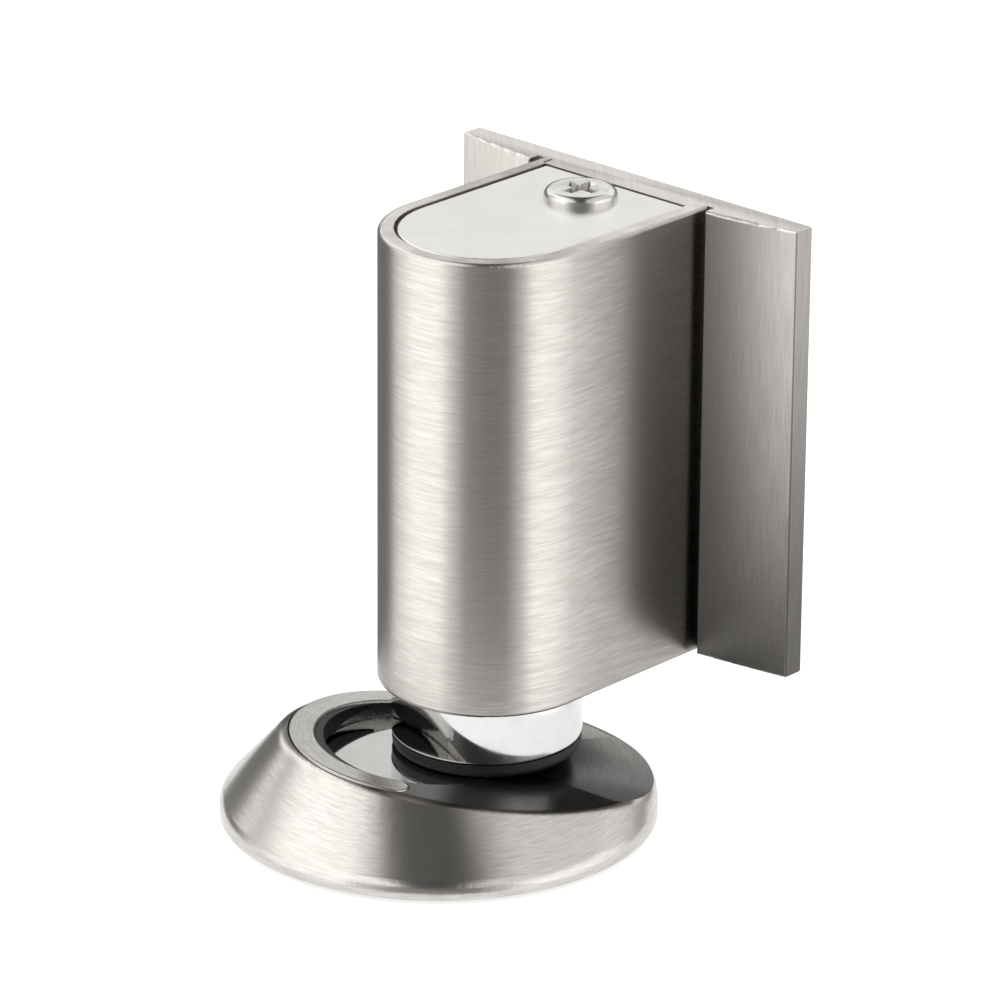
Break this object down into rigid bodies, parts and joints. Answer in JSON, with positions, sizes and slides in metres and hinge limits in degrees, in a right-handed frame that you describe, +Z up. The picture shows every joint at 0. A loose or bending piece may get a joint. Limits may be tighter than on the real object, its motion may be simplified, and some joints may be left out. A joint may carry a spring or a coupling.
{
  "type": "floor door holder",
  "caption": "Magnetic floor door holder: a door-mounted housing with a spring-lifted magnetic plunger, and a round floor base with a catch ring round a steel strike.",
  "frame": {"origin": "centre of the round base's underside, on the floor", "axes": "+Z up, +Y from the housing's nose to the door face"},
  "size_m": [0.0519, 0.0567, 0.0701],
  "materials": {
    "satin_nickel": "satin nickel, brushed",
    "cast_shell": "satin nickel on zinc, brushed round",
    "plate_metal": "satin nickel, brushed upright",
    "polished_steel": "polished",
    "chrome": "mirror chrome",
    "screw_steel": "nickel plated, tumbled",
    "zinc_steel": "zinc plated",
    "die_cast": "as cast",
    "spring_steel": "drawn wire",
    "magnet_nickel": "nickel plated",
    "black_rubber": "matt moulded",
    "acetal": "moulded natural acetal",
    "black_plastic": "moulded"
  },
  "bodies": {
    "base": {"base_shell": "cast_shell", "catch_ring": "satin_nickel", "ring_screws": "zinc_steel", "buffer_strip": "black_rubber", "strike_disc": "polished_steel", "floor_plate": "zinc_steel", "clamp_screw": "zinc_steel", "base_gasket": "black_rubber"},
    "door_unit": {"door_plate": "plate_metal", "housing_sleeve": "satin_nickel", "top_cap": "satin_nickel", "cap_screw": "screw_steel", "core_frame": "die_cast", "core_screws": "zinc_steel", "bottom_cover": "black_plastic", "bottom_screw": "zinc_steel", "upper_bush": "acetal", "lower_bush": "acetal"},
    "plunger": {"plunger_cup": "chrome", "plunger_stem": "polished_steel", "return_spring": "spring_steel", "stem_washer": "zinc_steel", "stem_nut": "zinc_steel", "bumper_washer": "black_rubber", "magnet_pot": "zinc_steel", "magnet": "magnet_nickel", "foot_screw": "zinc_steel", "rubber_ring": "black_rubber"}
  },
  "joints": [
    {"name": "door_slide", "type": "slide", "parent": "base", "child": "door_unit", "axis": [0, 1, 0], "range_m": [0, 0.06]},
    {"name": "plunger_slide", "type": "slide", "parent": "door_unit", "child": "plunger", "axis": [0, 0, 1], "range_m": [0, 0.009], "deforming": ["return_spring"]}
  ],
  "couplings": [
    {"joint": "plunger_slide", "follows": "door_slide", "ratio": 0.15}
  ]
}
